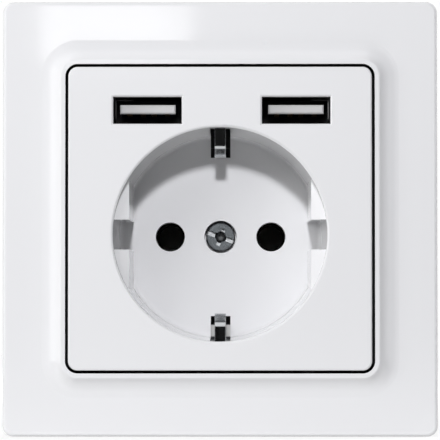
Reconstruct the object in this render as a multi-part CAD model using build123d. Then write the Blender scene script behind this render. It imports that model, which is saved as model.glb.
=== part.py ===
from build123d import *
import os
from math import acos, cos, sin, sqrt

# Flush wall socket: a round earthed outlet with two USB ports above it, in a square frame, in millimetres.
# Each piece is drawn lying on its back: x right, y up and z out of the wall, with the wall face at z = 0.
# The last lines stand every piece up, so that the face looks along -Y and Z is up.

# Clearances and small features that several pieces share
past = 1.0                    # how far a cut runs past the face that it opens
seat_clearance = 0.1          # a piece in its groove, slot or nest
thread_clearance = 0.05       # a screw in the thread that it turns in
pilot_clearance = 0.02        # a screw or pin in the plastic that grips it
hole_clearance = 0.25         # a screw in a plain hole
screw_head_clearance = 0.3
screw_head_round = 0.5
screw_tip_chamfer = 0.3
screw_slot_width = 0.7
screw_slot_depth = 0.55

# Cover frame
frame_size = 80.0
frame_corner = 2.0
frame_edge_round = 0.7
flange_front = 7.0
frame_skin = 2.0
frame_wall = 1.8
rim_rise = 1.8
rim_land = 0.65
rim_roll = 0.45
cove_radius = 4.59
frame_skirt = 1.85
ledge_width = 1.75
ledge_top = 4.5
ledge_thickness = 1.8
frame_rib = 1.2
frame_rib_offset = 14.0
rib_clearance = 0.3
screw_notch_width = 10.0
screw_notch_reach = 4.2
screw_notch_height = 2.6

# Centre plate
plate_size = 55.75
plate_corner = 1.75
plate_gap = 0.53
plate_front = 9.0
plate_skin = 2.0
plate_wall = 1.4
plate_edge_round = 0.4

# Plug well, moulded with the plate
well_y = -2.9
well_radius = 19.7
well_draft = 0.7
well_depth = 17.5
well_mouth_round = 0.5
well_floor_round = 0.8
cup_wall = 1.2
cup_floor = 2.6
flat_half = 16.75
flat_draft = 0.39
shoulder_drop = 1.2
shoulder_fall = 1.2
notch_height = 5.5
pin_spacing = 19.0
pin_hole_radius = 2.75
earth_slot_width = 3.7
earth_slot_cover = 2.0

# Centre screw
centre_recess_radius = 3.05
centre_recess_depth = 1.8
centre_head_radius = 2.75
centre_head_height = 1.55
centre_head_round = 0.55
centre_shank_radius = 1.5
centre_shank_length = 7.2
drive_slot_width = 0.9
drive_slot_depth = 0.7
cross_width = 0.85
cross_length = 3.4
cross_depth = 0.9
cross_point_radius = 1.05
cross_point_tip = 0.35
cross_point_depth = 2.2
drive_angle = -20.0

# USB ports
usb_spacing = 27.3
usb_offset = 0.33             # the pair sits a little to the right of the plate's middle
usb_cup_clearance = 0.23
usb_window_width = 12.6
usb_window_height = 5.0
usb_window_chamfer = 0.3
usb_shell_width = 13.1
usb_shell_height = 5.7
usb_shell_wall = 0.3
usb_shell_corner = 0.6
usb_shell_length = 11.0
usb_tongue_width = 10.2
usb_tongue_thickness = 1.65
usb_tongue_rise = 0.3
usb_tongue_recess = 2.7
usb_tongue_chamfer = 0.25
usb_block_depth = 2.6
usb_contact_width = 1.0
usb_contact_thickness = 0.25
usb_contact_places = (-3.5, -1.0, 1.0, 3.5)
usb_contact_setback = 0.8

# Steel support ring
ring_frame_clearance = 0.5
ring_corner = 9.0
ring_thickness = 1.0
ring_well_clearance = 0.6
ring_usb_clearance = 0.8
box_screw_spacing = 60.0
box_slot_length = 7.0
box_slot_radius = 2.1
ring_screw_angles = (-45.0, 32.5)
ring_screw_edge = 1.6
ring_screw_radius = 1.1
ring_screw_length = 6.0
ring_screw_head_radius = 1.9
ring_screw_head_height = 1.3
ring_post_radius = 2.0

# Base block and rear cover
base_wall = 1.8
base_floor = 2.1
tub_claw_clearance = 0.7
tub_bottom = -11.0
tub_wall = 1.6
tub_depth = 10.8
cover_depth = 8.5
cover_skin = 1.8
cover_edge_round = 1.0
lip_height = 1.4
lip_thickness = 0.9
cover_screw_y = -5.6
cover_screw_radius = 1.1
cover_screw_length = 9.0
cover_screw_head_radius = 2.0
cover_screw_head_height = 1.3
cover_screw_sink = 0.2
cover_post_radius = 2.3
cover_post_bite = 0.1
barrier_offset = 7.0
barrier_thickness = 1.2
barrier_height = 5.4
barrier_end = 24.4

# Expanding claws
claw_y = 7.0
claw_width = 8.0
claw_side_clearance = 0.3
claw_pivot_depth = 2.9
claw_lever = 3.9
claw_pin_radius = 1.0
claw_pin_chamfer = 0.2
claw_running_clearance = 0.05
claw_eye_wall = 0.85
claw_sheet = 1.2
claw_arm_length = 19.5
claw_fork_width = 3.2
claw_fork_start = 8.0
claw_tooth_reach = 2.4
claw_tab_width = 4.0
claw_tab_end = 1.6
claw_lug_thickness = 1.5
claw_lug_depth = 4.8
claw_screw_radius = 1.45
claw_screw_gap = 0.05
claw_screw_travel = 1.35
claw_screw_head_radius = 2.3
claw_screw_head_height = 1.6
claw_collar_radius = 2.4
claw_collar_length = 1.6

# Earth bracket, distances from the well's axis
earth_sheet = 0.8
earth_strip_width = 6.0
earth_clip_width = 2.05
earth_root = 16.4
earth_slot_margin = 1.05
earth_strip_setback = 0.5
earth_upright = 6.2
earth_crest = 14.65
earth_crest_depth = 7.4
earth_crest_bend = 2.0
earth_knee = 16.6
earth_knee_depth = 5.3
earth_knee_bend = 3.0
earth_tip = 20.4
earth_tip_depth = 3.5
earth_bend = 1.0
earth_foot = 3.0
earth_tail_y = -22.6
earth_pad_width = 7.4

# Line and neutral contacts and the terminals
contact_sheet = 0.8
contact_sleeve_inner = 2.4
contact_sleeve_wall = 0.7
contact_sleeve_length = 9.0
contact_sleeve_root = 1.0
contact_slit = 0.8
contact_plate_width = 7.6
contact_overlap = 1.8
contact_tab = 1.2
terminal_x = 13.2
terminal_y = -16.9
terminal_clamp_size = 7.0
terminal_clamp_thickness = 1.2
terminal_clamp_corner = 0.8
terminal_clamp_groove = 0.4
terminal_screw_radius = 1.6
terminal_screw_bite = 0.8
terminal_head_radius = 2.9
terminal_head_height = 2.0

# USB board and charger board
board_thickness = 1.2
board_clearance = 0.5
board_screw_radius = 0.95
board_screw_length = 4.2
board_screw_head_radius = 1.8
board_screw_head_height = 1.1
board_post_radius = 2.1
usb_board_above = 0.1
usb_board_below = 1.8
usb_board_chamfer = 4.0
usb_screw_rise = 0.64
charger_standoff = 2.3
charger_low = 1.2
charger_screw_angle = 55.0
link_places = (3.4, 5.2)
link_pin = 0.64
link_stub = 0.8

# Charger parts on the rear of the charger board, packed from right to left
part_gap = 0.6
charger_row = 4.8
core_width = 14.0
core_length = 12.0
core_height = 10.0
core_leg = 2.6
coil_clearance = 0.15
coil_wrap = 1.0
mains_capacitor_radius = 4.0
mains_capacitor_height = 11.5
output_capacitor_radius = 3.1
output_capacitor_height = 8.5
can_groove_depth = 0.35
can_groove_start = 1.2
can_groove_width = 0.8
can_edge = 0.4
chip_width = 5.0
chip_length = 4.0
chip_height = 1.5
chip_leg_width = 0.45
chip_leg_pitch = 1.27
chip_leg_reach = 1.0
chip_leg_steps = (-1.5, -0.5, 0.5, 1.5)
resistor_radius = 1.5
resistor_length = 7.0
resistor_round = 0.6
resistor_wire = 0.35

# Heights worked out from the sizes above
rim_front = flange_front + rim_rise
frame_skin_back = flange_front - frame_skin
plate_skin_back = plate_front - plate_skin
well_floor = plate_front - well_depth
cup_back = well_floor - cup_floor
base_floor_back = cup_back - base_floor
tub_back = base_floor_back - tub_depth
cover_back = tub_back - cover_depth
cover_screw_seat = cover_back + cover_screw_head_height + cover_screw_sink
usb_shell_front = plate_skin_back - seat_clearance
usb_board_front = usb_shell_front - usb_shell_length
usb_board_back = usb_board_front - board_thickness
usb_tongue_front = plate_front - usb_tongue_recess
charger_front = base_floor_back - charger_standoff
charger_back = charger_front - board_thickness
strip_front = cup_back - seat_clearance
strip_back = strip_front - earth_sheet
contact_back = base_floor_back - contact_sheet
clamp_back = contact_back - terminal_clamp_thickness


def cup_inside(height):
    """Inside radius of the plug well at a height."""
    return well_radius - well_draft * (plate_front - height) / well_depth


def cup_outside(height):
    return cup_inside(height) + cup_wall


# Places worked out from the sizes above
opening_size = plate_size + 2 * plate_gap
opening_corner = plate_corner + plate_gap
ledge_size = opening_size - 2 * ledge_width
ring_size = frame_size - 2 * (frame_wall + ring_frame_clearance)
port_places = {"right": usb_offset + usb_spacing / 2, "left": usb_offset - usb_spacing / 2}
port_near = (usb_spacing - usb_shell_width) / 2 - abs(usb_offset)
port_far = (usb_spacing + usb_shell_width) / 2 + abs(usb_offset)
port_reach = sqrt((cup_outside(usb_shell_front) + usb_cup_clearance) ** 2 - port_near ** 2)
port_y = well_y + port_reach + usb_shell_height / 2
usb_board_high = port_y + usb_shell_height / 2 + usb_board_above
usb_board_low = port_y - usb_shell_height / 2 - usb_board_below
usb_screw_y = port_y + usb_screw_rise
claw_screw_reach = cup_outside(plate_skin_back) + claw_screw_head_radius + screw_head_clearance
claw_screw_x = sqrt(claw_screw_reach ** 2 - (claw_y - well_y) ** 2)
claw_pivot_x = claw_screw_x + claw_lever
claw_eye_radius = claw_pin_radius + claw_running_clearance + claw_eye_wall
claw_low = claw_y - claw_width / 2
claw_high = claw_y + claw_width / 2
base_radius = claw_pivot_x + claw_eye_radius
tub_half = claw_pivot_x - claw_eye_radius - tub_claw_clearance
cover_screw_x = tub_half - tub_wall - cover_post_radius + cover_post_bite
earth_slot_inner = earth_root - earth_sheet / 2 - earth_slot_margin
terminal_places = [(-terminal_x, terminal_y), (0, terminal_y), (terminal_x, terminal_y)]
charger_screw_reach = base_radius - tub_wall - board_post_radius - board_clearance
charger_screw = Vector(charger_screw_reach, 0).rotate(Axis.Z, charger_screw_angle)

# Places of the charger parts, clear of the rear cover's lip
lip_inset = tub_wall + seat_clearance + lip_thickness
output_x = tub_half - lip_inset - board_clearance - output_capacitor_radius
output_y = charger_low + part_gap + output_capacitor_radius
output_pitch = 2 * output_capacitor_radius + part_gap
core_x = output_x - output_capacitor_radius - part_gap - core_width / 2
core_y = charger_low + part_gap + coil_clearance + coil_wrap + core_length / 2
core_left = core_x - core_width / 2 - part_gap
resistor_half = resistor_length / 2 + 3 * resistor_wire
resistor_x = core_left - resistor_half
mains_x = core_left - mains_capacitor_radius
mains_y = charger_row + resistor_radius + part_gap + mains_capacitor_radius
low_chip_x = resistor_x - resistor_half - part_gap - chip_width / 2
high_chip_x = mains_x - mains_capacitor_radius - part_gap - chip_width / 2
high_chip_y = charger_row + chip_length + 2 * chip_leg_reach + part_gap


def span(x_low, x_high, y_low, y_high):
    """A rectangle between two corners."""
    middle = Pos((x_low + x_high) / 2, (y_low + y_high) / 2)
    return middle * Rectangle(x_high - x_low, y_high - y_low)


def disc(radius, place):
    return Pos(*place) * Circle(radius)


def prism(outline, bottom, top):
    """A flat outline raised from one height to another."""
    return extrude(Pos(0, 0, bottom) * outline, top - bottom)


def rod(outline, x, y_low, y_high, z):
    """A flat outline drawn in x and z, carried upward along y."""
    start = Plane(origin=(x, y_low, z), x_dir=(1, 0, 0), z_dir=(0, 1, 0))
    return extrude(start * outline, y_high - y_low)


def frustum(radius_low, radius_high, bottom, top):
    """A cone cut off at both ends."""
    cone = Cone(radius_low, radius_high, top - bottom, align=(Align.CENTER, Align.CENTER, Align.MIN))
    return Pos(0, 0, bottom) * cone


def other_side(shape):
    """The mirror image across the middle plane x = 0."""
    return mirror(shape, Plane.YZ)


def both_sides(shape):
    return shape + other_side(shape)


def pan_head(radius, height):
    """A slotted screw head that stands on z = 0."""
    head = prism(Circle(radius), 0, height)
    head = fillet(head.edges().sort_by(Axis.Z)[-1], screw_head_round)
    slot = Rectangle(2 * radius + past, screw_slot_width)
    return head - prism(slot, height - screw_slot_depth, height + past)


def shank(radius, length):
    """A screw's shank that hangs from z = 0."""
    body = prism(Circle(radius), -length, 0)
    return chamfer(body.edges().sort_by(Axis.Z)[0], screw_tip_chamfer)


def rim_section():
    """Section of the frame's face: rim, roll, cove and flange, measured outward from the opening."""
    turn = acos(1 - rim_rise / (rim_roll + cove_radius))
    reach = frame_size / sqrt(2) - opening_size / 2
    rim_in = (0, rim_front)
    rim_out = (rim_land, rim_front)
    steep = (rim_land + rim_roll * sin(turn), rim_front - rim_roll * (1 - cos(turn)))
    foot = (steep[0] + cove_radius * sin(turn), flange_front)
    roll = TangentArc(rim_out, steep, tangent=(1, 0))
    cove = TangentArc(steep, foot, tangent=(cos(turn), -sin(turn)))
    rest = Polyline(foot, (reach, flange_front), (reach, frame_skin_back), (0, frame_skin_back), rim_in)
    return make_face([Line(rim_in, rim_out), roll, cove, rest])


def frame_face():
    """The frame's front skin: the section carried round the opening, trimmed to the square outline."""
    straight = opening_size / 2 - opening_corner
    plane = Plane(origin=(opening_size / 2, straight, 0), x_dir=(1, 0, 0), z_dir=(0, -1, 0))
    section = plane * rim_section()
    corner_axis = Axis((straight, straight, 0), (0, 0, 1))
    quarter = extrude(section, 2 * straight) + revolve(section, corner_axis, 90)
    face = quarter
    for turn in (90, 180, 270):
        face += Rot(0, 0, turn) * quarter
    outline = RectangleRounded(frame_size, frame_size, frame_corner)
    face = face & prism(outline, frame_skin_back, rim_front + past)
    front_edges = face.edges().filter_by_position(Axis.Z, flange_front, flange_front)
    edge_zone = frame_size / 2 - frame_corner
    outer = [e for e in front_edges if max(abs(e.center().X), abs(e.center().Y)) > edge_zone]
    return fillet(outer, frame_edge_round)


def cover_frame():
    inner_size = frame_size - 2 * frame_wall
    skirt_size = opening_size + 2 * frame_skirt
    outline = RectangleRounded(frame_size, frame_size, frame_corner)
    skirt_outline = RectangleRounded(skirt_size, skirt_size, opening_corner + frame_skirt)
    opening = RectangleRounded(opening_size, opening_size, opening_corner)
    ledge_hole = RectangleRounded(ledge_size, ledge_size, opening_corner)
    body = frame_face()
    body += prism(outline - Rectangle(inner_size, inner_size), 0, frame_skin_back)
    body += prism(skirt_outline - opening, ring_thickness, frame_skin_back)
    body += prism(skirt_outline - ledge_hole, ledge_top - ledge_thickness, ledge_top)

    # Ribs between skirt and wall, and room under the skirt for the heads of the wall-box screws
    notch_half = screw_notch_width / 2
    notch_end = box_screw_spacing / 2 + screw_notch_reach
    notch = span(ledge_size / 2 - past, notch_end, -notch_half, notch_half)
    notch = prism(notch, ring_thickness, ring_thickness + screw_notch_height)
    for turn in (0, 90, 180, 270):
        for middle in (-frame_rib_offset, frame_rib_offset):
            rib = span(skirt_size / 2, inner_size / 2, middle - frame_rib / 2, middle + frame_rib / 2)
            body += Rot(0, 0, turn) * prism(rib, ring_thickness + rib_clearance, frame_skin_back)
        body -= Rot(0, 0, turn) * notch
    return body


def well_cavity():
    """The space of the plug well: a tapered round bore, less the shoulders that flank the plug."""
    reach = well_radius + past
    rim_level = plate_front - shoulder_drop
    edge_level = rim_level - shoulder_fall
    slope = shoulder_fall / (well_radius - flat_half)
    half = Polyline(
        (0, plate_front),
        (reach, plate_front),
        (reach, rim_level + slope * past),
        (flat_half, edge_level),
        (flat_half - flat_draft, well_floor),
        (0, well_floor),
        close=True,
    )
    section = both_sides(make_face(half))
    space = extrude(Plane.XZ.offset(-reach - well_y) * section, 2 * reach)
    notch = span(-reach, reach, well_y - notch_height / 2, well_y + notch_height / 2)
    space += prism(notch, well_floor, plate_front)
    bore = frustum(cup_inside(well_floor), well_radius, well_floor, plate_front)
    return space & Pos(0, well_y) * bore


def plate_with_well():
    """The plate's face and skirt with the empty cup behind it."""
    outline = RectangleRounded(plate_size, plate_size, plate_corner)
    face = prism(outline, plate_skin_back, plate_front)
    face = fillet(face.edges().group_by(Axis.Z)[-1], plate_edge_round)
    inner = plate_size - 2 * plate_wall
    body = face + prism(outline - Rectangle(inner, inner), ledge_top, plate_skin_back)
    cup = frustum(cup_outside(cup_back), cup_outside(plate_skin_back), cup_back, plate_skin_back)
    body += Pos(0, well_y) * cup
    body -= well_cavity()
    for height, radius in ((well_floor, well_floor_round), (plate_front, well_mouth_round)):
        circles = body.edges().filter_by(GeomType.CIRCLE).filter_by_position(Axis.Z, height, height)
        body = fillet([e for e in circles if e.radius > well_radius / 2], radius)
    return body


def centre_plate():
    window = prism(Rectangle(usb_window_width, usb_window_height), plate_skin_back - past, plate_front)
    lead_in = 2 * usb_window_chamfer
    mouth = Rectangle(usb_window_width + lead_in, usb_window_height + lead_in)
    window += extrude(Pos(0, 0, plate_front) * mouth, -usb_window_chamfer, taper=45)
    pin_hole = prism(disc(pin_hole_radius, (pin_spacing / 2, well_y)), cup_back - past, well_floor + past)
    body = plate_with_well() - both_sides(pin_hole)
    for x in port_places.values():
        body -= Pos(x, port_y) * window

    slot_half = earth_slot_width / 2
    slot = span(-slot_half, slot_half, earth_slot_inner, cup_outside(plate_front) + past)
    slot = prism(slot, cup_back - past, plate_front - earth_slot_cover)
    for turn in (0, 180):
        body -= Pos(0, well_y) * Rot(0, 0, turn) * slot
    axis = (0, well_y)
    body -= prism(disc(centre_recess_radius, axis), well_floor - centre_recess_depth, well_floor + past)
    body -= prism(disc(centre_shank_radius + hole_clearance, axis), cup_back - past, well_floor)
    return body


def centre_screw():
    """Round-edged screw with a slot and a cross recess that runs to a blunt point."""
    head = prism(Circle(centre_head_radius), 0, centre_head_height)
    head = fillet(head.edges().sort_by(Axis.Z)[-1], centre_head_round)
    slot = Rectangle(2 * centre_head_radius + past, drive_slot_width)
    drive = prism(slot, centre_head_height - drive_slot_depth, centre_head_height + past)
    for turn in (0, 90):
        bar = Rot(0, 0, turn) * Rectangle(cross_length, cross_width)
        drive += prism(bar, centre_head_height - cross_depth, centre_head_height + past)
    point_low = centre_head_height - cross_point_depth
    drive += frustum(cross_point_tip, cross_point_radius, point_low, centre_head_height)
    body = head + shank(centre_shank_radius, centre_shank_length) - Rot(0, 0, drive_angle) * drive
    return Pos(0, well_y, well_floor - centre_recess_depth) * body


def ring_screw_places():
    """Two places each side, on the base's collar: above the claw and low down."""
    reach = base_radius - ring_screw_edge
    right = [Vector(reach, 0).rotate(Axis.Z, angle) for angle in ring_screw_angles]
    return [(side * place.X, place.Y) for place in right for side in (1, -1)]


def support_ring():
    hole = disc(cup_outside(ring_thickness) + ring_well_clearance, (0, well_y))
    port_half = port_far + ring_usb_clearance
    port_rise = usb_shell_height / 2 + ring_usb_clearance
    hole += span(-port_half, port_half, port_y - port_rise, port_y + port_rise)
    plate = RectangleRounded(ring_size, ring_size, ring_corner) - hole
    slot = SlotCenterToCenter(box_slot_length - 2 * box_slot_radius, 2 * box_slot_radius)
    for turn in (0, 90, 180, 270):
        plate -= Rot(0, 0, turn) * Pos(box_screw_spacing / 2, 0) * slot
    for place in ring_screw_places():
        plate -= disc(ring_screw_radius + hole_clearance, place)
    place = (claw_screw_x, claw_y)
    collar = prism(disc(claw_collar_radius, place), -claw_collar_length, ring_thickness)
    thread = disc(claw_screw_radius + thread_clearance, place)
    thread = prism(thread, -claw_collar_length - past, ring_thickness + past)
    return prism(plate, 0, ring_thickness) + both_sides(collar) - both_sides(thread)


def ring_screws():
    screw = pan_head(ring_screw_head_radius, ring_screw_head_height)
    screw += shank(ring_screw_radius, ring_screw_length)
    return [Pos(x, y, ring_thickness) * screw for x, y in ring_screw_places()]


def tub_outline(inset):
    """Outline of the rear tub: a circle cut by flats beside the claws and a chord above the terminals."""
    flats = span(inset - tub_half, tub_half - inset, tub_bottom + inset, base_radius)
    return Circle(base_radius - inset) & flats


def claw_room():
    """Space cut out of the base for the right claw and its screw."""
    low = claw_low - claw_side_clearance
    high = claw_high + claw_side_clearance
    near = span(claw_screw_x - claw_screw_head_radius, base_radius + past, low, high)
    deep = span(tub_half, base_radius + past, low, high)
    return prism(near, cup_back, past) + prism(deep, base_floor_back - past, past)


def claw_lugs():
    """The two lugs that hold the right claw's pin."""
    inner = claw_pivot_x - 2 * claw_eye_radius
    low = claw_low - claw_side_clearance
    high = claw_high + claw_side_clearance
    lugs = span(inner, base_radius, low - claw_lug_thickness, low)
    lugs += span(inner, base_radius, high, high + claw_lug_thickness)
    bore = Circle(claw_pin_radius + pilot_clearance)
    bore = rod(bore, claw_pivot_x, low - claw_lug_thickness, high + claw_lug_thickness, -claw_pivot_depth)
    return prism(lugs, -claw_lug_depth, 0), bore


def base_posts():
    """Posts that take the screws of the ring, the two boards and the rear cover, and their pilot holes."""
    posts = prism(disc(board_post_radius, (0, usb_screw_y)), cup_back, usb_board_back)
    pilot = disc(board_screw_radius + pilot_clearance, (0, usb_screw_y))
    pilots = prism(pilot, usb_board_front - board_screw_length - past, usb_board_back + past)
    for place in ring_screw_places():
        posts += prism(disc(ring_post_radius, place) & Circle(base_radius), cup_back, 0)
        pilot = disc(ring_screw_radius + pilot_clearance, place)
        pilots += prism(pilot, ring_thickness - ring_screw_length - past, past)
    charger = (charger_screw.X, charger_screw.Y)
    cover = (cover_screw_x, cover_screw_y)
    rear = prism(disc(board_post_radius, charger), charger_front, base_floor_back)
    rear += prism(disc(cover_post_radius, cover), tub_back, base_floor_back)
    pilot = disc(board_screw_radius + pilot_clearance, charger)
    rear_pilots = prism(pilot, charger_front - past, charger_back + board_screw_length + past)
    pilot = disc(cover_screw_radius + pilot_clearance, cover)
    rear_pilots += prism(pilot, tub_back - past, cover_screw_seat + cover_screw_length + past)
    return posts + both_sides(rear), pilots + both_sides(rear_pilots)


def base_passages():
    """Ways through the base's floor: plug pins, board link, contact feet, earth strip, centre screw."""
    floor_low = base_floor_back - past
    right = prism(disc(pin_hole_radius, (pin_spacing / 2, well_y)), floor_low, cup_back + past)
    link = span(
        link_places[0] - link_pin, link_places[-1] + link_pin, usb_screw_y - link_pin, usb_screw_y + link_pin
    )
    right += prism(link, floor_low, cup_back + past)
    foot_half = contact_plate_width / 2 + seat_clearance
    foot_top = tub_bottom + tub_wall + past
    foot = span(terminal_x - foot_half, terminal_x + foot_half, tub_bottom - past, foot_top)
    right += prism(foot, contact_back - seat_clearance, base_floor_back)
    ways = both_sides(right)
    for place in terminal_places:
        pilot = disc(terminal_screw_radius + pilot_clearance, place)
        ways += prism(pilot, floor_low, base_floor_back + terminal_screw_bite + seat_clearance)
    half = earth_strip_width / 2 + seat_clearance
    tail_low = earth_tail_y - seat_clearance
    tail_high = earth_tail_y + earth_sheet + seat_clearance
    strip_top = well_y + earth_root + earth_sheet / 2 + seat_clearance
    ways += prism(span(-half, half, tail_low, strip_top), strip_back, cup_back + past)
    ways += prism(span(-half, half, tail_low, tail_high), floor_low, cup_back)
    return ways + prism(disc(centre_shank_radius + hole_clearance, (0, well_y)), floor_low, cup_back)


def socket_base():
    body = prism(Circle(base_radius) - Circle(base_radius - base_wall), cup_back, 0)
    body += prism(Circle(base_radius), base_floor_back, cup_back)
    body += prism(tub_outline(0) - tub_outline(tub_wall), tub_back, base_floor_back)
    lugs, bores = claw_lugs()
    body = body - both_sides(claw_room()) + both_sides(lugs) - both_sides(bores)
    barrier_near = barrier_offset - barrier_thickness / 2
    barrier_far = barrier_offset + barrier_thickness / 2
    barrier = span(barrier_near, barrier_far, -barrier_end, tub_bottom + tub_wall)
    body += both_sides(prism(barrier, base_floor_back - barrier_height, base_floor_back))
    posts, pilots = base_posts()
    board_half = port_far + board_clearance
    board_room = span(-board_half, board_half, usb_board_low - board_clearance, base_radius + past)
    return body + posts - prism(board_room, usb_board_back, past) - pilots - base_passages()


def rear_cover():
    """Shallow lid over the tub, with a lip that locates it and two screw posts."""
    body = prism(tub_outline(0), cover_back, tub_back)
    body = fillet(body.edges().group_by(Axis.Z)[0], cover_edge_round)
    body -= prism(tub_outline(tub_wall), cover_back + cover_skin, tub_back + past)
    lip_outer = tub_wall + seat_clearance
    lip_inner = tub_outline(lip_inset)
    body += prism(tub_outline(lip_outer) - lip_inner, tub_back - lip_height, tub_back + lip_height)
    body += prism(tub_outline(tub_wall / 2) - lip_inner, tub_back - lip_height, tub_back)
    place = (cover_screw_x, cover_screw_y)
    nest = prism(disc(cover_post_radius + seat_clearance, place), tub_back, tub_back + lip_height + past)
    post = prism(disc(cover_post_radius, place), cover_back + cover_skin, tub_back)
    hole = prism(disc(cover_screw_radius + hole_clearance, place), cover_back - past, tub_back + past)
    hole += prism(disc(cover_screw_head_radius + hole_clearance, place), cover_back - past, cover_screw_seat)
    return body - both_sides(nest) + both_sides(post) - both_sides(hole)


def cover_screws():
    screw = pan_head(cover_screw_head_radius, cover_screw_head_height)
    screw += shank(cover_screw_radius, cover_screw_length)
    screw = Rot(180, 0, 0) * screw
    return [Pos(side * cover_screw_x, cover_screw_y, cover_screw_seat) * screw for side in (1, -1)]


def claw():
    """Right claw: a rolled eye on the pin, a forked arm with teeth, and a tab that the screw pushes."""
    height = -claw_pivot_depth
    arm_in = claw_pivot_x - claw_eye_radius
    arm_out = arm_in + claw_sheet
    arm_end = height - claw_arm_length
    body = rod(Circle(claw_eye_radius), claw_pivot_x, claw_low, claw_high, height)
    arm = span(arm_in, arm_out, claw_low, claw_high)
    body += prism(arm, arm_end, height)
    prong = (claw_width - claw_fork_width) / 2
    for low in (claw_low, claw_high - prong):
        tooth = Polyline(
            (arm_in, low), (arm_out + claw_tooth_reach, low + prong / 2), (arm_in, low + prong), close=True
        )
        body += prism(make_face(tooth), arm_end, arm_end + claw_sheet)
    fork = span(arm_in - past, arm_out + past, claw_low + prong, claw_high - prong)
    body -= prism(fork, arm_end - past, height - claw_fork_start)
    tab_end = claw_screw_x - claw_tab_end
    tab = span(tab_end, claw_pivot_x, claw_y - claw_tab_width / 2, claw_y + claw_tab_width / 2)
    body += prism(tab, height - claw_sheet, height)
    bore = Circle(claw_pin_radius + claw_running_clearance)
    return body - rod(bore, claw_pivot_x, claw_low, claw_high, height)


def claw_pin():
    overhang = claw_side_clearance + claw_lug_thickness
    outline = Circle(claw_pin_radius)
    pin = rod(outline, claw_pivot_x, claw_low - overhang, claw_high + overhang, -claw_pivot_depth)
    return chamfer(pin.edges().filter_by(GeomType.CIRCLE), claw_pin_chamfer)


def claw_screw():
    """Right claw screw: it turns in the ring's threaded collar, and its domed tip pushes the claw's tab."""
    dome_height = claw_screw_gap - claw_pivot_depth + claw_screw_radius
    under_head = ring_thickness + claw_screw_travel + screw_head_clearance
    body = Pos(0, 0, under_head) * pan_head(claw_screw_head_radius, claw_screw_head_height)
    body += prism(Circle(claw_screw_radius), dome_height, under_head)
    body += Pos(0, 0, dome_height) * Sphere(claw_screw_radius)
    return Pos(claw_screw_x, claw_y) * body


def earth_clip():
    """One sprung clip about the well's axis: foot, upright, crest against the plug and lead-in."""
    middle = (strip_front + strip_back) / 2
    path = FilletPolyline(
        (0, earth_root - earth_foot, middle),
        (0, earth_root, middle),
        (0, earth_root, middle + earth_upright),
        (0, earth_crest, plate_front - earth_crest_depth),
        (0, earth_knee, plate_front - earth_knee_depth),
        (0, earth_tip, plate_front - earth_tip_depth),
        radius=[earth_bend, earth_bend, earth_crest_bend, earth_knee_bend],
    )
    start = Plane(origin=path @ 0, x_dir=(1, 0, 0), z_dir=path % 0)
    return sweep(start * Rectangle(earth_clip_width, earth_sheet), path)


def earth_bracket():
    """Cross strip behind the well, with a clip at each end and a tail that runs back to its terminal."""
    clip = earth_clip()
    clips = Pos(0, well_y) * (clip + mirror(clip, Plane.XZ))
    half = earth_strip_width / 2
    reach = earth_slot_inner - earth_strip_setback
    neck = earth_clip_width / 2
    strip = span(-half, half, well_y - reach, well_y + reach) + span(-neck, neck, earth_tail_y, well_y)
    body = clips + prism(strip, strip_back, strip_front)
    pad_back = base_floor_back - earth_sheet
    body += prism(span(-half, half, earth_tail_y, earth_tail_y + earth_sheet), pad_back, strip_front)
    pad_half = earth_pad_width / 2
    pad_top = terminal_y + terminal_clamp_size / 2
    body += prism(span(-pad_half, pad_half, earth_tail_y, pad_top), pad_back, base_floor_back)
    screw_hole = disc(terminal_screw_radius + pilot_clearance, (0, terminal_y))
    body -= prism(screw_hole, pad_back - past, base_floor_back)
    thread = disc(centre_shank_radius + thread_clearance, (0, well_y))
    return body - prism(thread, strip_back - past, strip_front + past)


def contact():
    """Right contact: a slit sleeve for the plug's pin, on a plate that runs to its terminal."""
    pin_x = pin_spacing / 2
    outer = contact_sleeve_inner + contact_sleeve_wall
    half = contact_plate_width / 2
    inside = tub_bottom + tub_wall + seat_clearance
    tab_low = well_y + half
    tab_high = tab_low + contact_tab
    plate = span(pin_x - half, pin_x + half, inside, tab_high)
    plate += span(terminal_x - half, terminal_x + half, terminal_y - half, inside + contact_overlap)
    body = prism(plate, contact_back, base_floor_back)
    body += prism(disc(outer, (pin_x, well_y)), base_floor_back - contact_sleeve_length, base_floor_back)
    tab = span(pin_x - contact_tab, pin_x + contact_tab, tab_low, tab_high)
    body += prism(tab, charger_back - link_stub, base_floor_back)
    bore = disc(contact_sleeve_inner, (pin_x, well_y))
    body -= prism(bore, base_floor_back - contact_sleeve_length - past, base_floor_back + past)
    reach = outer + past
    slit = span(pin_x - contact_slit / 2, pin_x + contact_slit / 2, well_y - reach, well_y + reach)
    slit_low = base_floor_back - contact_sleeve_length - past
    body -= prism(slit, slit_low, contact_back - contact_sleeve_root)
    screw_hole = disc(terminal_screw_radius + pilot_clearance, (terminal_x, terminal_y))
    return body - prism(screw_hole, contact_back - past, base_floor_back + past)


def terminal_clamps():
    """Saddle washers, grooved where they grip the wires."""
    size = terminal_clamp_size
    clamp = prism(RectangleRounded(size, size, terminal_clamp_corner), clamp_back, contact_back)
    clamp -= prism(Circle(terminal_screw_radius + hole_clearance), clamp_back - past, contact_back + past)
    groove_x = (terminal_screw_radius + size / 2) / 2
    groove = Circle(terminal_clamp_groove)
    clamp -= both_sides(rod(groove, groove_x, -size, size, contact_back))
    return [Pos(*place) * clamp for place in terminal_places]


def terminal_screws():
    length = base_floor_back + terminal_screw_bite - clamp_back
    screw = pan_head(terminal_head_radius, terminal_head_height) + shank(terminal_screw_radius, length)
    return [Pos(x, y, clamp_back) * Rot(180, 0, 0) * screw for x, y in terminal_places]


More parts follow.
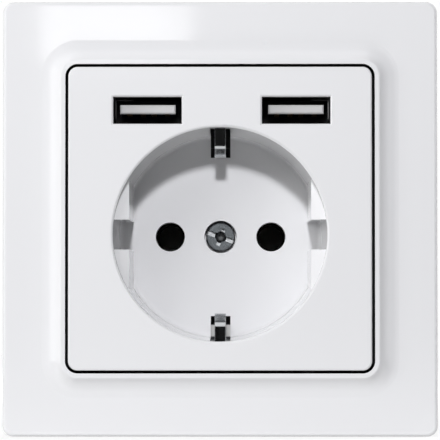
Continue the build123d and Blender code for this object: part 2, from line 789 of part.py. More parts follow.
def usb_shell():
    """A port's steel shell, open at the front and standing on the USB board."""
    outside = RectangleRounded(usb_shell_width, usb_shell_height, usb_shell_corner)
    inside = offset(outside, -usb_shell_wall)
    return Pos(0, port_y) * prism(outside - inside, usb_board_front, usb_shell_front)


def usb_tongue():
    """A port's moulded block, with the tongue that carries the contacts in grooves along its under side."""
    inset = usb_shell_wall + seat_clearance
    block = offset(RectangleRounded(usb_shell_width, usb_shell_height, usb_shell_corner), -inset)
    body = prism(block, usb_board_front, usb_board_front + usb_block_depth)
    blade = Pos(0, usb_tongue_rise) * Rectangle(usb_tongue_width, usb_tongue_thickness)
    tongue = prism(blade, usb_board_front, usb_tongue_front)
    tongue = chamfer(tongue.edges().group_by(Axis.Z)[-1], usb_tongue_chamfer)
    face = usb_tongue_rise - usb_tongue_thickness / 2
    half = usb_contact_width / 2 + seat_clearance
    groove_end = usb_tongue_front - usb_contact_setback + seat_clearance
    for x in usb_contact_places:
        groove = span(x - half, x + half, face - past, face + usb_contact_thickness)
        tongue -= prism(groove, usb_board_front + usb_block_depth, groove_end)
    return Pos(0, port_y) * (body + tongue)


def usb_contacts():
    """A port's four strips, flush with the under side of the tongue."""
    face = usb_tongue_rise - usb_tongue_thickness / 2
    half = usb_contact_width / 2
    low = usb_board_front + usb_block_depth
    high = usb_tongue_front - usb_contact_setback
    strips = []
    for x in usb_contact_places:
        strip = prism(span(x - half, x + half, face, face + usb_contact_thickness), low, high)
        strips.append(Pos(0, port_y) * strip)
    return strips


def link_holes():
    """Holes for the pins that join the two boards."""
    return both_sides(Sketch() + [disc(link_pin, (x, usb_screw_y)) for x in link_places])


def usb_board():
    half = (usb_spacing + usb_shell_width) / 2
    outline = span(usb_offset - half, usb_offset + half, usb_board_low, usb_board_high)
    outline = chamfer(outline.vertices().group_by(Axis.Y)[-1], usb_board_chamfer)
    outline -= disc(cup_outside(usb_board_front) + board_clearance, (0, well_y))
    outline -= disc(board_screw_radius + hole_clearance, (0, usb_screw_y))
    return prism(outline - link_holes(), usb_board_back, usb_board_front)


def board_screw():
    head = pan_head(board_screw_head_radius, board_screw_head_height)
    return head + shank(board_screw_radius, board_screw_length)


def usb_board_screw():
    return Pos(0, usb_screw_y, usb_board_front) * board_screw()


def charger_board():
    outline = tub_outline(tub_wall + board_clearance)
    outline &= span(-base_radius, base_radius, charger_low, base_radius)
    tab_low = well_y + contact_plate_width / 2
    tab_half = contact_tab + board_clearance
    tab_top = tab_low + contact_tab + board_clearance
    pin_x = pin_spacing / 2
    tab_slot = span(pin_x - tab_half, pin_x + tab_half, tab_low - board_clearance, tab_top)
    screw_hole = disc(board_screw_radius + hole_clearance, (charger_screw.X, charger_screw.Y))
    return prism(outline - link_holes() - both_sides(tab_slot + screw_hole), charger_back, charger_front)


def charger_screws():
    screw = Rot(180, 0, 0) * board_screw()
    return [Pos(side * charger_screw.X, charger_screw.Y, charger_back) * screw for side in (1, -1)]


def board_link_pins():
    """Square pins that join the two boards."""
    pin = prism(Rectangle(link_pin, link_pin), charger_back - link_stub, usb_board_front + link_stub)
    return [Pos(side * x, usb_screw_y) * pin for x in link_places for side in (1, -1)]


def core_window():
    """Width of each of the core's two windows, between its middle leg and an outer leg."""
    return (core_width - 4 * core_leg) / 2


def transformer_core():
    """Two E halves as one closed core with three legs, standing on the charger board."""
    bottom = charger_back - core_height
    core = prism(Rectangle(core_width, core_length), bottom, charger_back)
    window = span(core_leg, core_leg + core_window(), -core_length, core_length)
    core -= both_sides(prism(window, bottom + core_leg, charger_back - core_leg))
    return Pos(core_x, core_y) * core


def transformer_coil():
    """Taped winding round the core's middle leg."""
    bottom = charger_back - core_height + core_leg + coil_clearance
    top = charger_back - core_leg - coil_clearance
    inner_length = core_length + 2 * coil_clearance
    outer_width = 2 * (core_leg + core_window() - coil_clearance)
    turns = RectangleRounded(outer_width, inner_length + 2 * coil_wrap, coil_wrap)
    turns -= Rectangle(2 * (core_leg + coil_clearance), inner_length)
    return Pos(core_x, core_y) * prism(turns, bottom, top)


def can(radius, height):
    """A capacitor hanging from z = 0: a crimped groove near the board and a rounded closed end."""
    body = prism(Circle(radius), -height, 0)
    body = fillet(body.edges().sort_by(Axis.Z)[0], can_edge)
    groove = Circle(radius + past) - Circle(radius - can_groove_depth)
    return body - prism(groove, -can_groove_start - can_groove_width, -can_groove_start)


def mains_capacitor():
    return Pos(mains_x, mains_y, charger_back) * can(mains_capacitor_radius, mains_capacitor_height)


def output_capacitors():
    body = can(output_capacitor_radius, output_capacitor_height)
    return [Pos(output_x, output_y + row * output_pitch, charger_back) * body for row in range(2)]


def power_chips():
    """Two small packages with legs along both long sides."""
    body = prism(Rectangle(chip_width, chip_length), -chip_height, -chip_leg_width / 2)
    reach = chip_length / 2 + chip_leg_reach
    for step in chip_leg_steps:
        x = step * chip_leg_pitch
        leg = span(x - chip_leg_width / 2, x + chip_leg_width / 2, -reach, reach)
        body += prism(leg, -chip_leg_width, 0)
    places = [(low_chip_x, charger_row), (high_chip_x, high_chip_y)]
    return [Pos(x, y, charger_back) * body for x, y in places]


def fuse_resistor():
    """A round fusible resistor lying along x, with its wire ends bent to the board."""
    lying = Plane(origin=(0, 0, -resistor_radius), z_dir=(1, 0, 0))
    body = extrude(lying * Circle(resistor_radius), resistor_length / 2, both=True)
    body = fillet(body.edges().filter_by(GeomType.CIRCLE), resistor_round)
    wire_end = resistor_length / 2 + 2 * resistor_wire
    body += extrude(lying * Circle(resistor_wire), wire_end, both=True)
    body += both_sides(prism(disc(resistor_wire, (wire_end, 0)), -resistor_radius, 0))
    return Pos(resistor_x, charger_row, charger_back) * body


pieces = {
    "cover_frame": cover_frame(),
    "centre_plate": centre_plate(),
    "centre_screw": centre_screw(),
    "support_ring": support_ring(),
    "ring_screws": ring_screws(),
    "socket_base": socket_base(),
    "rear_cover": rear_cover(),
    "cover_screws": cover_screws(),
    "earth_bracket": earth_bracket(),
    "line_contact": other_side(contact()),
    "neutral_contact": contact(),
    "terminal_clamps": terminal_clamps(),
    "terminal_screws": terminal_screws(),
    "usb_board": usb_board(),
    "usb_board_screw": usb_board_screw(),
    "charger_board": charger_board(),
    "charger_screws": charger_screws(),
    "board_link_pins": board_link_pins(),
    "transformer_core": transformer_core(),
    "transformer_coil": transformer_coil(),
    "mains_capacitor": mains_capacitor(),
    "output_capacitors": output_capacitors(),
    "power_chips": power_chips(),
    "fuse_resistor": fuse_resistor(),
}

# Pieces of which there is one on each side, drawn on the right
pairs = {
    "claw": [claw()],
    "claw_pin": [claw_pin()],
    "claw_screw": [claw_screw()],
}
for name, solids in pairs.items():
    pieces["right_" + name] = solids
    pieces["left_" + name] = [other_side(solid) for solid in solids]

# Pieces of the USB ports, drawn on the plate's middle line
port_pieces = {
    "usb_shell": [usb_shell()],
    "usb_tongue": [usb_tongue()],
    "usb_contacts": usb_contacts(),
}
for name, solids in port_pieces.items():
    for side, x in port_places.items():
        pieces[f"{side}_{name}"] = [Pos(x, 0) * solid for solid in solids]

os.makedirs("parts", exist_ok=True)
for name, shape in pieces.items():
    solids = shape if isinstance(shape, list) else [shape]
    standing = [solid.rotate(Axis.X, 90) for solid in solids]
    whole = standing[0] if len(standing) == 1 else Compound(children=standing)
    export_step(whole, f"parts/{name}.step")
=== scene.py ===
import bpy
import numpy as np
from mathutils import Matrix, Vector


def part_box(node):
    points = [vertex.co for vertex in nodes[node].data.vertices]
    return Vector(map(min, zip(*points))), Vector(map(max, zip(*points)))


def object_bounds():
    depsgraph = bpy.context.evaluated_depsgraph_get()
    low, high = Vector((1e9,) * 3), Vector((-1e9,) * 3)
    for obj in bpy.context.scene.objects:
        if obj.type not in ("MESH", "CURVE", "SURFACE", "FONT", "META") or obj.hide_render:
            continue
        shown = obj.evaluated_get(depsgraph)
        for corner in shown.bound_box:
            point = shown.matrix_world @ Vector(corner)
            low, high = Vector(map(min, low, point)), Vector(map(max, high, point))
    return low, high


# Wall socket with two USB ports: finishes, stage, lights and camera around the CAD frame, in metres
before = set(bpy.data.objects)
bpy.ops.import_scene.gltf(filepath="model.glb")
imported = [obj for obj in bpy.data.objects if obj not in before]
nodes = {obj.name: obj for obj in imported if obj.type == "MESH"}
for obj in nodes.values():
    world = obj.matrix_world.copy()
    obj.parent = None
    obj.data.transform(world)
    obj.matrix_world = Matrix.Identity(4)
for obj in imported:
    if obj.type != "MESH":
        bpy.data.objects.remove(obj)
cadLow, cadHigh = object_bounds()
across, inward, upward = 0, 1, 2  # axes of a place: right, into the wall, up
noiseLow, noiseHigh = 0.3, 0.7  # where most of a noise lies
print("frame:", len(nodes), "nodes")


# Node shorthand: every finish is built from these few
def startFinish(name):
    finish = bpy.data.materials.new(name)
    finish.use_nodes = True
    tree = finish.node_tree
    shader = tree.nodes["Principled BSDF"]
    place = tree.nodes.new("ShaderNodeTexCoord").outputs["Object"]
    return finish, tree, shader, place


def feed(tree, node, inputs):  # sets plain values, links sockets
    for key, value in inputs.items():
        if isinstance(value, bpy.types.NodeSocket):
            tree.links.new(value, node.inputs[key])
        else:
            node.inputs[key].default_value = value
    return node


def turned(tree, place, scale=(1, 1, 1), turn=(0, 0, 0)):
    node = tree.nodes.new("ShaderNodeMapping")
    return feed(tree, node, {"Vector": place, "Scale": scale, "Rotation": turn}).outputs[0]


def noise(tree, place, size, detail=2.0, rough=0.5):  # size: width of one blotch in metres
    node = tree.nodes.new("ShaderNodeTexNoise")
    feed(tree, node, {"Vector": place, "Scale": 1 / size, "Detail": detail, "Roughness": rough})
    return node.outputs["Fac"]


def spread(tree, value, fromLow, fromHigh, toLow, toHigh):  # maps one range on another
    node = tree.nodes.new("ShaderNodeMapRange")
    inputs = {0: value, 1: fromLow, 2: fromHigh, 3: toLow, 4: toHigh}
    return feed(tree, node, inputs).outputs[0]


def dullness(tree, value, look):  # a noise as roughness
    return spread(tree, value, noiseLow, noiseHigh, look["roughLow"], look["roughHigh"])


def sums(tree, kind, first, second=0):  # one step of arithmetic
    node = tree.nodes.new("ShaderNodeMath")
    node.operation = kind
    return feed(tree, node, {0: first, 1: second}).outputs[0]


def squares(tree, first, second):  # squared distance from two offsets
    return sums(tree, "ADD", *[sums(tree, "MULTIPLY", side, side) for side in (first, second)])


def mixed(tree, factor, first, second):  # two colours by a factor
    node = tree.nodes.new("ShaderNodeMix")
    node.data_type = "RGBA"
    tint = [v if isinstance(v, bpy.types.NodeSocket) else (*v, 1) for v in (first, second)]
    return feed(tree, node, {0: factor, 6: tint[0], 7: tint[1]}).outputs[2]


def relief(tree, height, depth, under=None):  # depth: metres between low and high
    node = tree.nodes.new("ShaderNodeBump")
    inputs = {"Height": height, "Distance": depth, "Strength": 1.0}
    if under is not None:
        inputs["Normal"] = under
    return feed(tree, node, inputs).outputs["Normal"]


def softEdge(tree, radius):  # sharp metal edges that catch the light
    return feed(tree, tree.nodes.new("ShaderNodeBevel"), {"Radius": radius}).outputs[0]


def part(tree, place, axis):  # one coordinate of the place
    node = tree.nodes.new("ShaderNodeSeparateXYZ")
    return feed(tree, node, {0: place}).outputs[axis]


def offset(tree, place, axis, start):  # one coordinate, counted from a start
    return sums(tree, "SUBTRACT", part(tree, place, axis), start)


def dress(finish, *names):
    for name in names:
        mesh = nodes[name].data
        mesh.materials.clear()
        mesh.materials.append(finish)


# Gloss white moulding of the cover frame and the centre plate, with painted shade in the gap round the
# plate
glossWhite = {
    "tone": (0.804, 0.805, 0.812), "toneFar": (0.794, 0.795, 0.803), "toneSize": 0.030,
    "roughLow": 0.035, "roughHigh": 0.075, "smearSize": 0.012, "smearStretch": (1, 1, 0.6),
    "peelSize": 0.0028, "peelDepth": 0.0000010, "grainSize": 0.00035, "grainDepth": 0.00000010,
    "gapShadeTone": (0.010, 0.010, 0.011), "seamMiddle": 0.02814, "seamCorner": 0.00202, "seamHalf": 0.00045,
    "seamTop": -0.0083, "seamFade": 0.0004,  # painted shade deep in the gap round the plate
    "ior": 1.50,
}


def gapShadeMask(tree, place, look):  # painted shade mask, 1 in the gap: distance from a rounded square, and depth below its face
    start = look["seamMiddle"] - look["seamCorner"]
    sides = []
    for axis in (across, upward):
        beyond = sums(tree, "SUBTRACT", sums(tree, "ABSOLUTE", part(tree, place, axis)), start)
        sides.append(sums(tree, "MAXIMUM", beyond, 0))
    reach = sums(tree, "SQRT", squares(tree, *sides))
    off = sums(tree, "ABSOLUTE", sums(tree, "SUBTRACT", reach, look["seamCorner"]))
    within = sums(tree, "LESS_THAN", off, look["seamHalf"])
    top = look["seamTop"]
    deep = spread(tree, part(tree, place, inward), top, top + look["seamFade"], 0, 1)
    return sums(tree, "MULTIPLY", within, deep)


def makeGlossWhite(look):
    finish, tree, shader, place = startFinish("glossWhite")
    cloud = noise(tree, place, look["toneSize"], detail=3.0)
    stretched = turned(tree, place, scale=look["smearStretch"])
    smear = noise(tree, stretched, look["smearSize"], detail=4.0, rough=0.6)
    peel = relief(tree, noise(tree, place, look["peelSize"], detail=1.5), look["peelDepth"])
    grain = relief(tree, noise(tree, place, look["grainSize"]), look["grainDepth"], peel)
    gapShade = gapShadeMask(tree, place, look)
    body = mixed(tree, cloud, look["tone"], look["toneFar"])
    feed(tree, shader, {
        # painted shade: the gap is coloured near black and made fully rough, so it shows no reflection
        "Base Color": mixed(tree, gapShade, body, look["gapShadeTone"]),
        "Roughness": sums(tree, "MAXIMUM", dullness(tree, smear, look), gapShade),
        "IOR": look["ior"], "Normal": grain,
    })
    return finish


dress(makeGlossWhite(glossWhite), "cover_frame", "centre_plate")

# Matt thermoset of the base block and the rear cover
basePlastic = {
    "tone": (0.76, 0.76, 0.74), "toneFar": (0.70, 0.70, 0.68),
    "flowSize": 0.014, "flowStretch": (1, 0.35, 0.7),
    "speckTone": (0.60, 0.60, 0.58), "speckSize": 0.0006,
    "speckFrom": 0.62, "speckTo": 0.72, "speckShare": 0.12,
    "roughLow": 0.42, "roughHigh": 0.60, "grainSize": 0.00045, "grainDepth": 0.000008,
    "shadeTone": (0.012, 0.012, 0.013), "shadeHalf": 0.0030, "shadeBack": 0.0124, "shadeEdge": 0.0002,
    "shadeSpans": ((0.0135, 0.0041), (-0.01855, 0.00085)),  # middle and half height behind each earth slot
}


def slotShade(tree, place, look):  # 1 on the base floor that shows dark through the earth slots
    edge = look["shadeEdge"]
    side = sums(tree, "ABSOLUTE", part(tree, place, across))
    within = spread(tree, side, look["shadeHalf"], look["shadeHalf"] + edge, 1, 0)
    front = spread(tree, part(tree, place, inward), look["shadeBack"], look["shadeBack"] + edge, 1, 0)
    spans = []
    for middle, half in look["shadeSpans"]:
        away = sums(tree, "ABSOLUTE", offset(tree, place, upward, middle))
        spans.append(spread(tree, away, half, half + edge, 1, 0))
    patch = sums(tree, "MULTIPLY", within, front)
    return sums(tree, "MULTIPLY", patch, sums(tree, "MAXIMUM", *spans))


def makeBasePlastic(look):
    finish, tree, shader, place = startFinish("basePlastic")
    stretched = turned(tree, place, scale=look["flowStretch"])
    flow = noise(tree, stretched, look["flowSize"], detail=5.0, rough=0.6)
    dots = noise(tree, place, look["speckSize"], detail=3.0)
    speck = spread(tree, dots, look["speckFrom"], look["speckTo"], 0, look["speckShare"])
    body = mixed(tree, flow, look["tone"], look["toneFar"])
    moulded = mixed(tree, speck, body, look["speckTone"])
    grain = noise(tree, place, look["grainSize"], detail=3.0, rough=0.6)
    feed(tree, shader, {
        "Base Color": mixed(tree, slotShade(tree, place, look), moulded, look["shadeTone"]),
        "Roughness": dullness(tree, flow, look),
        "Normal": relief(tree, grain, look["grainDepth"]),
    })
    return finish


dress(makeBasePlastic(basePlastic), "socket_base", "rear_cover")

# Zinc plate on the ring, the claws, the clamps and most screws
zincPlate = {
    "tone": (0.60, 0.62, 0.66), "toneFar": (0.52, 0.53, 0.55), "bloomSize": 0.006,
    "warmTone": (0.62, 0.60, 0.52), "warmSize": 0.011, "warmFrom": 0.45, "warmTo": 0.70, "warmShare": 0.25,
    "roughLow": 0.22, "roughHigh": 0.42, "pitSize": 0.0004, "pitDepth": 0.000006,
    "scratchStretch": (30, 30, 1.2), "scratchSize": 0.004, "scratchDepth": 0.000003,
}


def makeZincPlate(look):
    finish, tree, shader, place = startFinish("zincPlate")
    bloom = noise(tree, place, look["bloomSize"], detail=4.0, rough=0.65)
    stain = noise(tree, place, look["warmSize"])
    warm = spread(tree, stain, look["warmFrom"], look["warmTo"], 0, look["warmShare"])
    scratch = noise(tree, turned(tree, place, scale=look["scratchStretch"]), look["scratchSize"])
    pits = relief(tree, noise(tree, place, look["pitSize"]), look["pitDepth"])
    plate = mixed(tree, bloom, look["tone"], look["toneFar"])
    feed(tree, shader, {
        "Base Color": mixed(tree, warm, plate, look["warmTone"]),
        "Metallic": 1.0,
        "Roughness": dullness(tree, bloom, look),
        "Normal": relief(tree, scratch, look["scratchDepth"], pits),
    })
    return finish


dress(
    makeZincPlate(zincPlate), "support_ring", "ring_screws", "cover_screws", "left_claw", "right_claw",
    "left_claw_pin", "right_claw_pin", "left_claw_screw", "right_claw_screw", "terminal_clamps",
    "terminal_screws", "usb_board_screw", "charger_screws",
)

# Plated steel: bright on the earth clips; inside the USB shells coloured near black as painted shade
clipSteel = {
    "tone": (0.66, 0.68, 0.69), "toneFar": (0.52, 0.53, 0.54), "bloomSize": 0.004,
    "drawStretch": (1, 0.05, 0.05), "drawSize": 0.0003, "drawDepth": 0.0000012,
    "roughLow": 0.07, "roughHigh": 0.14, "edgeRound": 0.00022,
}
# painted shade: near black steel, so the ports look dark inside
shellShadeSteel = {
    "tone": (0.055, 0.055, 0.058), "toneFar": (0.03, 0.03, 0.032), "bloomSize": 0.003,
    "drawStretch": (1, 0.05, 1), "drawSize": 0.0003, "drawDepth": 0.000002,
    "roughLow": 0.28, "roughHigh": 0.45, "edgeRound": 0.0001,
}


def makeBrightMetal(name, look):  # fine draw lines along the sheet
    finish, tree, shader, place = startFinish(name)
    bloom = noise(tree, place, look["bloomSize"], detail=4.0, rough=0.6)
    draw = noise(tree, turned(tree, place, scale=look["drawStretch"]), look["drawSize"])
    feed(tree, shader, {
        "Base Color": mixed(tree, bloom, look["tone"], look["toneFar"]),
        "Metallic": 1.0,
        "Roughness": dullness(tree, bloom, look),
        "Normal": relief(tree, draw, look["drawDepth"], softEdge(tree, look["edgeRound"])),
    })
    return finish


dress(makeBrightMetal("clipSteel", clipSteel), "earth_bracket")
dress(makeBrightMetal("shellShadeSteel", shellShadeSteel), "left_usb_shell", "right_usb_shell")

# Centre screw: plated head with painted shade and a painted highlight, counted in depth from its face and
# in reach from its axis
screwSteel = {
    "tone": (0.38, 0.41, 0.43), "toneFar": (0.25, 0.27, 0.285), "bloomSize": 0.0012, "dull": 0.55,
    "slotHighlight": (0.92, 0.94, 0.95), "slotHighlightMetallic": 0.25, "slotFrom": 0.00055,
    "hollow": 0.00112, "crossFrom": 0.00005, "crossTo": 0.0002,
    "coreFrom": 0.00040, "coreTo": 0.00065, "coreShadeShare": 0.75,  # less painted shade at the cross's point, a painted glint of light there
    "screwShadeTone": (0.015, 0.016, 0.018), "rimFrom": 0.00235, "rimTo": 0.00265, "axisHeight": -0.0029,
    "turnSize": 0.0002, "turnDepth": 0.000003, "roughLow": 0.20, "roughHigh": 0.34, "edgeRound": 0.00012,
}


def makeScrewSteel(look, face):  # painted shade at the rim and in the cross, painted highlight on the slot's floor
    finish, tree, shader, place = startFinish("screwSteel")
    bloom = noise(tree, place, look["bloomSize"], detail=4.0, rough=0.6)
    deep = offset(tree, place, inward, face)
    away = squares(tree, part(tree, place, across), offset(tree, place, upward, look["axisHeight"]))
    reach = sums(tree, "SQRT", away)
    slotFloor = sums(tree, "GREATER_THAN", deep, look["slotFrom"])
    middle = sums(tree, "LESS_THAN", away, look["hollow"] ** 2)
    core = spread(tree, reach, look["coreFrom"], look["coreTo"], look["coreShadeShare"], 1)
    shaded = sums(tree, "MULTIPLY", core, spread(tree, deep, look["crossFrom"], look["crossTo"], 0, 1))
    cross = sums(tree, "MULTIPLY", middle, shaded)
    # painted shade: a dark ring at the head's rim and a dark cross recess
    rim = spread(tree, reach, look["rimFrom"], look["rimTo"], 0, 1)
    paintedShade = sums(tree, "MAXIMUM", cross, rim)
    head = mixed(tree, bloom, look["tone"], look["toneFar"])
    # painted highlight: the slot's floor pale and less metallic, so it lights up under the lamps
    headAndHighlight = mixed(tree, slotFloor, head, look["slotHighlight"])
    turning = noise(tree, place, look["turnSize"])
    feed(tree, shader, {
        "Base Color": mixed(tree, paintedShade, headAndHighlight, look["screwShadeTone"]),
        "Metallic": spread(tree, slotFloor, 0, 1, look["dull"], look["slotHighlightMetallic"]),
        "Roughness": dullness(tree, bloom, look),
        "Normal": relief(tree, turning, look["turnDepth"], softEdge(tree, look["edgeRound"])),
    })
    return finish


dress(makeScrewSteel(screwSteel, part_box("centre_screw")[0].y), "centre_screw")

# Stamped brass of the contacts, with painted shade in the bores that take the plug's pins
contactBrass = {
    "tone": (0.70, 0.50, 0.22), "tarnish": (0.34, 0.22, 0.10),
    "tarnishSize": 0.004, "tarnishFrom": 0.45, "tarnishTo": 0.75,
    "boreShadeTone": (0.012, 0.010, 0.008), "pinPlace": (0.0095, -0.0029),
    "boreShadeOuter": 0.00305, "boreShadeInner": 0.00285, "roughLow": 0.25, "roughHigh": 0.45,
    "drawStretch": (1, 0.06, 1), "drawSize": 0.0004, "drawDepth": 0.000003,
}


def makeContactBrass(look):
    finish, tree, shader, place = startFinish("contactBrass")
    cloud = noise(tree, place, look["tarnishSize"], detail=4.0, rough=0.65)
    draw = noise(tree, turned(tree, place, scale=look["drawStretch"]), look["drawSize"])
    pinAside, pinHeight = look["pinPlace"]
    aside = sums(tree, "SUBTRACT", sums(tree, "ABSOLUTE", part(tree, place, across)), pinAside)
    away = squares(tree, aside, offset(tree, place, upward, pinHeight))
    # painted shade: the brass round the pin bores coloured near black
    boreShade = spread(tree, away, look["boreShadeInner"] ** 2, look["boreShadeOuter"] ** 2, 1, 0)
    tarnished = spread(tree, cloud, look["tarnishFrom"], look["tarnishTo"], 0, 1)
    stamped = mixed(tree, tarnished, look["tone"], look["tarnish"])
    feed(tree, shader, {
        "Base Color": mixed(tree, boreShade, stamped, look["boreShadeTone"]),
        "Metallic": 1.0,
        "Roughness": dullness(tree, cloud, look),
        "Normal": relief(tree, draw, look["drawDepth"]),
    })
    return finish


dress(
    makeContactBrass(contactBrass), "line_contact", "neutral_contact", "left_usb_contacts",
    "right_usb_contacts", "board_link_pins",
)

# USB tongues: pale front of the blade, then painted shade that turns the rest of the tongue and its block
# near black
tonguePlastic = {
    "blade": (0.62, 0.62, 0.615), "bladeFar": (0.55, 0.55, 0.545), "cloudSize": 0.003,
    "block": (0.02, 0.02, 0.02), "bladeDepth": 0.0012, "fade": 0.0008,
    "roughLow": 0.35, "roughHigh": 0.5, "grainSize": 0.0003, "grainDepth": 0.000004,
}


def makeTonguePlastic(look, face):
    finish, tree, shader, place = startFinish("tonguePlastic")
    cloud = noise(tree, place, look["cloudSize"], detail=3.0)
    start = face + look["bladeDepth"]
    shadedBack = spread(tree, part(tree, place, inward), start, start + look["fade"], 0, 1)
    blade = mixed(tree, cloud, look["blade"], look["bladeFar"])
    feed(tree, shader, {
        # painted shade: everything behind the blade's front coloured near black
        "Base Color": mixed(tree, shadedBack, blade, look["block"]),
        "Roughness": dullness(tree, cloud, look),
        "Normal": relief(tree, noise(tree, place, look["grainSize"]), look["grainDepth"]),
    })
    return finish


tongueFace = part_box("right_usb_tongue")[0].y
dress(makeTonguePlastic(tonguePlastic, tongueFace), "left_usb_tongue", "right_usb_tongue")

# Green boards with tracks under the solder resist
boardLaminate = {
    "resist": (0.015, 0.13, 0.055), "track": (0.035, 0.24, 0.09), "trackTurn": (0, 0.785, 0),
    "trackPitch": 0.0026, "trackShare": 0.55, "trackFade": 0.06, "trackDepth": 0.000035,
    "roughLow": 0.22, "roughHigh": 0.36, "weaveSize": 0.0005, "weaveDepth": 0.000004,
    "coat": 0.3, "coatRough": 0.2,
}


def makeBoardLaminate(look):
    finish, tree, shader, place = startFinish("boardLaminate")
    cells = tree.nodes.new("ShaderNodeTexVoronoi")
    cells.distance = "CHEBYCHEV"
    slanted = turned(tree, place, turn=look["trackTurn"])
    feed(tree, cells, {"Vector": slanted, "Scale": 1 / look["trackPitch"]})
    edge = look["trackShare"] + look["trackFade"]
    track = spread(tree, cells.outputs["Distance"], look["trackShare"], edge, 0, 1)
    weave = noise(tree, place, look["weaveSize"])
    lift = relief(tree, track, look["trackDepth"])
    feed(tree, shader, {
        "Base Color": mixed(tree, track, look["resist"], look["track"]),
        "Roughness": dullness(tree, weave, look),
        "Normal": relief(tree, weave, look["weaveDepth"], lift),
        "Coat Weight": look["coat"], "Coat Roughness": look["coatRough"],
    })
    return finish


dress(makeBoardLaminate(boardLaminate), "usb_board", "charger_board")

# Ground ferrite of the transformer core
ferrite = {
    "tone": (0.045, 0.045, 0.05), "toneFar": (0.085, 0.083, 0.08),
    "grainSize": 0.0005, "grainDepth": 0.00001, "roughLow": 0.5, "roughHigh": 0.75,
}


def makeFerrite(look):
    finish, tree, shader, place = startFinish("ferrite")
    grain = noise(tree, place, look["grainSize"], detail=5.0, rough=0.7)
    feed(tree, shader, {
        "Base Color": mixed(tree, grain, look["tone"], look["toneFar"]),
        "Roughness": dullness(tree, grain, look),
        "Normal": relief(tree, grain, look["grainDepth"]),
    })
    return finish


dress(makeFerrite(ferrite), "transformer_core")

# Yellow tape over the transformer's winding: the turns show through as fine ridges
coilTape = {
    "tone": (0.78, 0.55, 0.05), "toneFar": (0.66, 0.43, 0.03), "turnPitch": 0.00045, "turnDepth": 0.00003,
    "turnWander": 0.6, "cloudSize": 0.003, "roughLow": 0.18, "roughHigh": 0.32,
}
wavePitch = 0.314  # pitch of the wave texture's bands at scale 1


def makeCoilTape(look):
    finish, tree, shader, place = startFinish("coilTape")
    turns = tree.nodes.new("ShaderNodeTexWave")
    turns.bands_direction = "Y"
    scale = wavePitch / look["turnPitch"]
    feed(tree, turns, {"Vector": place, "Scale": scale, "Distortion": look["turnWander"]})
    cloud = noise(tree, place, look["cloudSize"], detail=3.0)
    feed(tree, shader, {
        "Base Color": mixed(tree, cloud, look["tone"], look["toneFar"]),
        "Roughness": dullness(tree, cloud, look),
        "Normal": relief(tree, turns.outputs["Fac"], look["turnDepth"]),
    })
    return finish


dress(makeCoilTape(coilTape), "transformer_coil")

# Capacitors: dark shrink sleeve, bare aluminium at the closed end
canSleeve = {
    "sleeve": (0.02, 0.028, 0.05), "sleeveFar": (0.03, 0.04, 0.07), "can": (0.70, 0.70, 0.71),
    "endBand": 0.0005, "endFade": 0.0001, "cloudSize": 0.004, "roughLow": 0.2, "roughHigh": 0.34,
    "wrinkleStretch": (1, 0.2, 1), "wrinkleSize": 0.002, "wrinkleDepth": 0.00001,
}


def makeCanSleeve(name, look, closedEnd):  # closedEnd: where it lies on the inward axis
    finish, tree, shader, place = startFinish(name)
    cloud = noise(tree, place, look["cloudSize"], detail=3.0)
    start = closedEnd - look["endBand"]
    bare = spread(tree, part(tree, place, inward), start, start + look["endFade"], 0, 1)
    sleeve = mixed(tree, cloud, look["sleeve"], look["sleeveFar"])
    wrinkle = noise(tree, turned(tree, place, scale=look["wrinkleStretch"]), look["wrinkleSize"])
    feed(tree, shader, {
        "Base Color": mixed(tree, bare, sleeve, look["can"]),
        "Metallic": bare,
        "Roughness": dullness(tree, cloud, look),
        "Normal": relief(tree, wrinkle, look["wrinkleDepth"]),
    })
    return finish


for canNode in ("mains_capacitor", "output_capacitors"):
    dress(makeCanSleeve(canNode + "Sleeve", canSleeve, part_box(canNode)[1].y), canNode)

# Power chips: black epoxy on tinned legs
chipEpoxy = {
    "epoxy": (0.022, 0.022, 0.024), "epoxyFar": (0.035, 0.035, 0.037), "tin": (0.62, 0.62, 0.63),
    "legHeight": 0.00045, "legFade": 0.00005, "grainSize": 0.0003, "grainDepth": 0.000012,
    "roughLow": 0.45, "roughHigh": 0.65,
}


def makeChipEpoxy(look, foot):
    finish, tree, shader, place = startFinish("chipEpoxy")
    grain = noise(tree, place, look["grainSize"], detail=3.0)
    legTop = foot + look["legHeight"]
    epoxy = spread(tree, part(tree, place, inward), legTop, legTop + look["legFade"], 0, 1)
    mould = mixed(tree, grain, look["epoxy"], look["epoxyFar"])
    feed(tree, shader, {
        "Base Color": mixed(tree, epoxy, look["tin"], mould),
        "Metallic": spread(tree, epoxy, 0, 1, 1, 0),
        "Roughness": dullness(tree, grain, look),
        "Normal": relief(tree, grain, look["grainDepth"]),
    })
    return finish


dress(makeChipEpoxy(chipEpoxy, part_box("power_chips")[0].y), "power_chips")

# Fuse resistor: grey-green enamel, tinned wire ends
resistorEnamel = {
    "enamel": (0.22, 0.33, 0.29), "enamelFar": (0.18, 0.28, 0.25), "tin": (0.62, 0.62, 0.63),
    "wireEnd": 0.00105, "cloudSize": 0.0012, "roughLow": 0.22, "roughHigh": 0.36,
    "dimpleSize": 0.0008, "dimpleDepth": 0.00002,
}


